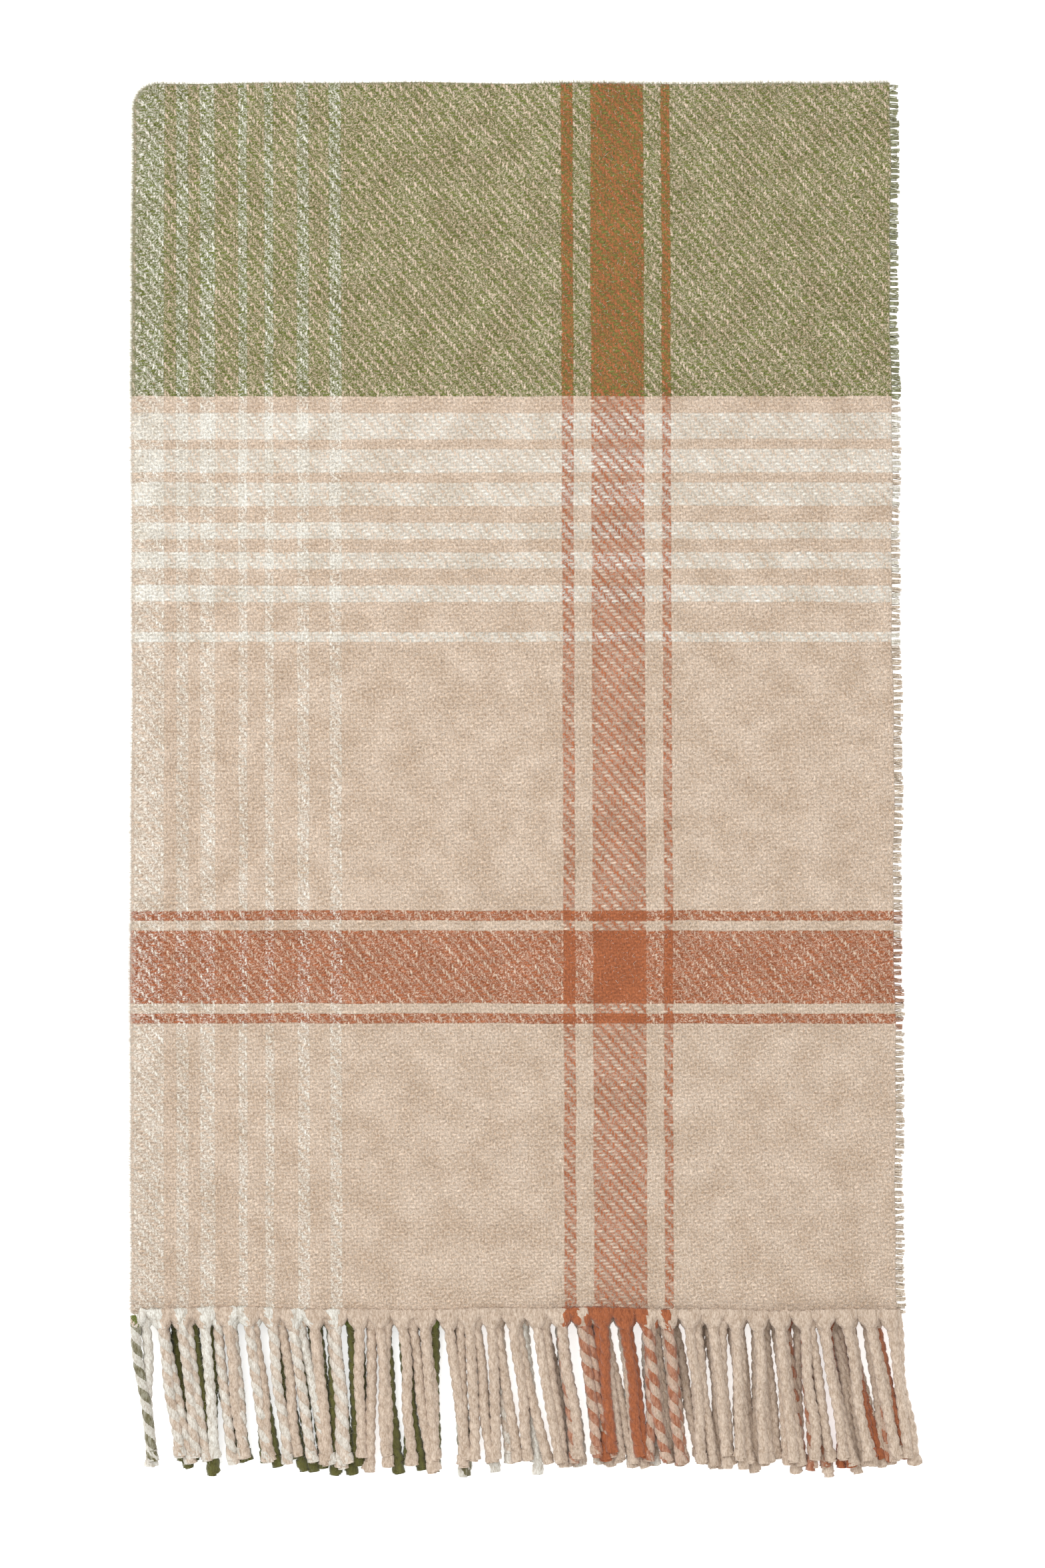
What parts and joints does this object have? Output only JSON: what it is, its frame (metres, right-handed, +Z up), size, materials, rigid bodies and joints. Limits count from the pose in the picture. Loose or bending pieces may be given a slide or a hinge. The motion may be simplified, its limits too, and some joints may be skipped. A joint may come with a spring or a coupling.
{
  "type": "folded throw blanket",
  "caption": "Checked woollen throw with twisted fringe, folded in half and then in thirds so that it lies flat.",
  "frame": {"origin": "middle of the underside of the folded throw, fringe included, on the surface it lies on", "axes": "+X runs from the side fold to the selvedge, +Y runs from the fringe to the top fold, +Z is up through the stack"},
  "size_m": [0.5534, 0.9922, 0.0177],
  "materials": {
    "check_cloth": "brushed woollen twill in an oatmeal, cream, moss and rust check",
    "oatmeal_yarn": "soft two-ply woollen yarn, hairy",
    "cream_yarn": "soft two-ply woollen yarn, cream twisted with oatmeal",
    "moss_yarn": "soft two-ply woollen yarn, hairy",
    "rust_yarn": "soft two-ply woollen yarn, hairy",
    "weft_ends": "cut ends of the weft yarn, in the colour of each band"
  },
  "bodies": {
    "back": {"back_fringe_inner_cream": "cream_yarn", "back_fringe_inner_moss": "moss_yarn", "back_fringe_inner_oatmeal": "oatmeal_yarn", "back_fringe_outer_cream": "cream_yarn", "back_fringe_outer_moss": "moss_yarn", "back_fringe_outer_oatmeal": "oatmeal_yarn", "back_panel_inner": "check_cloth", "back_panel_outer": "check_cloth", "back_top_fold": "check_cloth", "side_fold_corner": "check_cloth", "side_fold_inner": "check_cloth", "side_fold_outer": "check_cloth", "tuck_fold_corner": "check_cloth", "tuck_fold_inner": "check_cloth", "tuck_fold_outer": "check_cloth"},
    "front": {"front_panel_inner": "check_cloth", "front_panel_outer": "check_cloth", "front_top_fold": "check_cloth", "front_tufts_inner": "weft_ends", "front_tufts_outer": "weft_ends"},
    "flap": {"flap_fringe_inner_oatmeal": "oatmeal_yarn", "flap_fringe_inner_rust": "rust_yarn", "flap_fringe_outer_oatmeal": "oatmeal_yarn", "flap_fringe_outer_rust": "rust_yarn", "flap_panel_inner": "check_cloth", "flap_panel_outer": "check_cloth", "flap_top_fold": "check_cloth", "flap_tufts_inner": "weft_ends", "flap_tufts_outer": "weft_ends"},
    "front_fringe": {"front_fringe_inner_cream": "cream_yarn", "front_fringe_inner_oatmeal": "oatmeal_yarn", "front_fringe_inner_oatmeal_edge": "oatmeal_yarn", "front_fringe_inner_rust": "rust_yarn", "front_fringe_outer_cream": "cream_yarn", "front_fringe_outer_oatmeal": "oatmeal_yarn", "front_fringe_outer_oatmeal_edge": "oatmeal_yarn", "front_fringe_outer_rust": "rust_yarn"}
  },
  "joints": [
    {"name": "side_fold", "type": "hinge", "parent": "back", "child": "front", "pos_m": [-0.2679, 0, 0.00885], "axis": [0, -1, 0], "range_deg": [0, 180], "deforming": ["side_fold_outer", "side_fold_inner", "side_fold_corner"]},
    {"name": "tuck_fold", "type": "hinge", "parent": "back", "child": "flap", "pos_m": [0.2554, 0, 0.00585], "axis": [0, 1, 0], "range_deg": [0, 180], "deforming": ["tuck_fold_outer", "tuck_fold_inner", "tuck_fold_corner"]},
    {"name": "fringe_flip", "type": "hinge", "parent": "front", "child": "front_fringe", "pos_m": [0, -0.38385, 0.01785], "axis": [-1, 0, 0], "range_deg": [0, 175]}
  ],
  "couplings": [
    {"joint": "tuck_fold", "follows": "side_fold", "ratio": 1}
  ]
}
